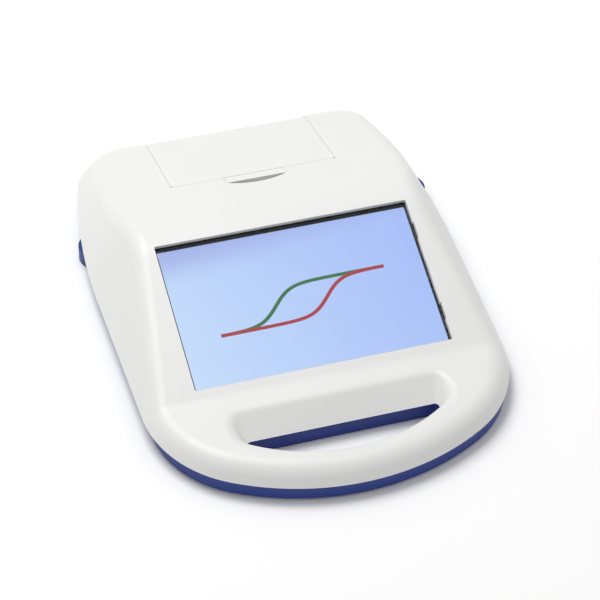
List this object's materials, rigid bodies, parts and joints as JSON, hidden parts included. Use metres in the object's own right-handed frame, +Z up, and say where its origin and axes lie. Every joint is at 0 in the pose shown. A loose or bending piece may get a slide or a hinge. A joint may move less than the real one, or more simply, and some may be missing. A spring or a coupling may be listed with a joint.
{
  "type": "isothermal amplification detector",
  "caption": "Portable bench instrument with a sloped touch display, a rear lid over heated tube wells, a blue lower shell and a carry handle moulded round the front.",
  "frame": {"origin": "middle of the footprint on the surface that the feet stand on", "axes": "+X to the user's right, +Y to the rear, +Z up"},
  "size_m": [0.2264, 0.308, 0.0548],
  "materials": {
    "white_housing": "fine satin moulding",
    "white_lid": "fine satin moulding",
    "blue_base": "fine satin moulding",
    "rubber_feet": "matt",
    "steel": "zinc plated",
    "battery_wrap": "shrink wrap",
    "circuit_board": "solder mask",
    "tin_plate": "tin plated sheet",
    "connector_white": "moulded",
    "black_foam": "closed cell foam",
    "display_glass": "polished",
    "display_panel": "lit panel",
    "dark_tray": "moulded, heat resistant",
    "magnet": "nickel plated",
    "block_aluminium": "milled and anodised",
    "heater_amber": "polyimide film",
    "blue_filter": "optical filter",
    "amber_filter": "optical filter",
    "black_plastic": "moulded"
  },
  "bodies": {
    "instrument": {"top_housing": "white_housing", "base_shell": "blue_base", "foot_pads": "rubber_feet", "housing_screws": "steel", "battery_door": "blue_base", "battery_door_screw": "steel", "battery_pack": "battery_wrap", "main_board": "circuit_board", "board_screws": "steel", "shield_can": "tin_plate", "board_headers": "connector_white", "display_gasket": "black_foam", "display_glass": "display_glass", "display_module": "display_panel", "display_bracket": "tin_plate", "display_screws": "steel", "well_tray": "dark_tray", "tray_screws": "steel", "lid_magnets": "magnet", "heater_block": "block_aluminium", "heater_film": "heater_amber", "block_jacket": "dark_tray", "jacket_screws": "steel", "light_board": "circuit_board", "sensor_board": "circuit_board", "light_filter": "blue_filter", "sensor_filter": "amber_filter", "light_board_screws": "steel", "sensor_board_screws": "steel", "hinge_pin": "steel", "rear_panel": "black_plastic", "rear_board": "circuit_board", "power_inlet": "black_plastic", "usb_socket": "tin_plate", "rocker_frame": "black_plastic"},
    "lid": {"lid": "white_lid", "keeper_plates": "tin_plate", "lid_liner": "black_foam", "bar_screws": "steel", "press_springs": "steel"},
    "press_bar": {"press_bar": "block_aluminium"},
    "power_rocker": {"power_rocker": "black_plastic"}
  },
  "joints": [
    {"name": "lid_hinge", "type": "hinge", "parent": "instrument", "child": "lid", "pos_m": [0, 0.1395, 0.02122], "axis": [-1, 0, 0], "range_deg": [0, 100]},
    {"name": "press_bar_travel", "type": "slide", "parent": "lid", "child": "press_bar", "axis": [0, 0, 1], "range_m": [0, 0.0015], "stiffness_N_per_m": 400, "deforming": ["press_springs"]},
    {"name": "power_switch", "type": "hinge", "parent": "instrument", "child": "power_rocker", "pos_m": [0.03, 0.1423, 0.01], "axis": [0, 0, 1], "range_deg": [0, 16]}
  ]
}
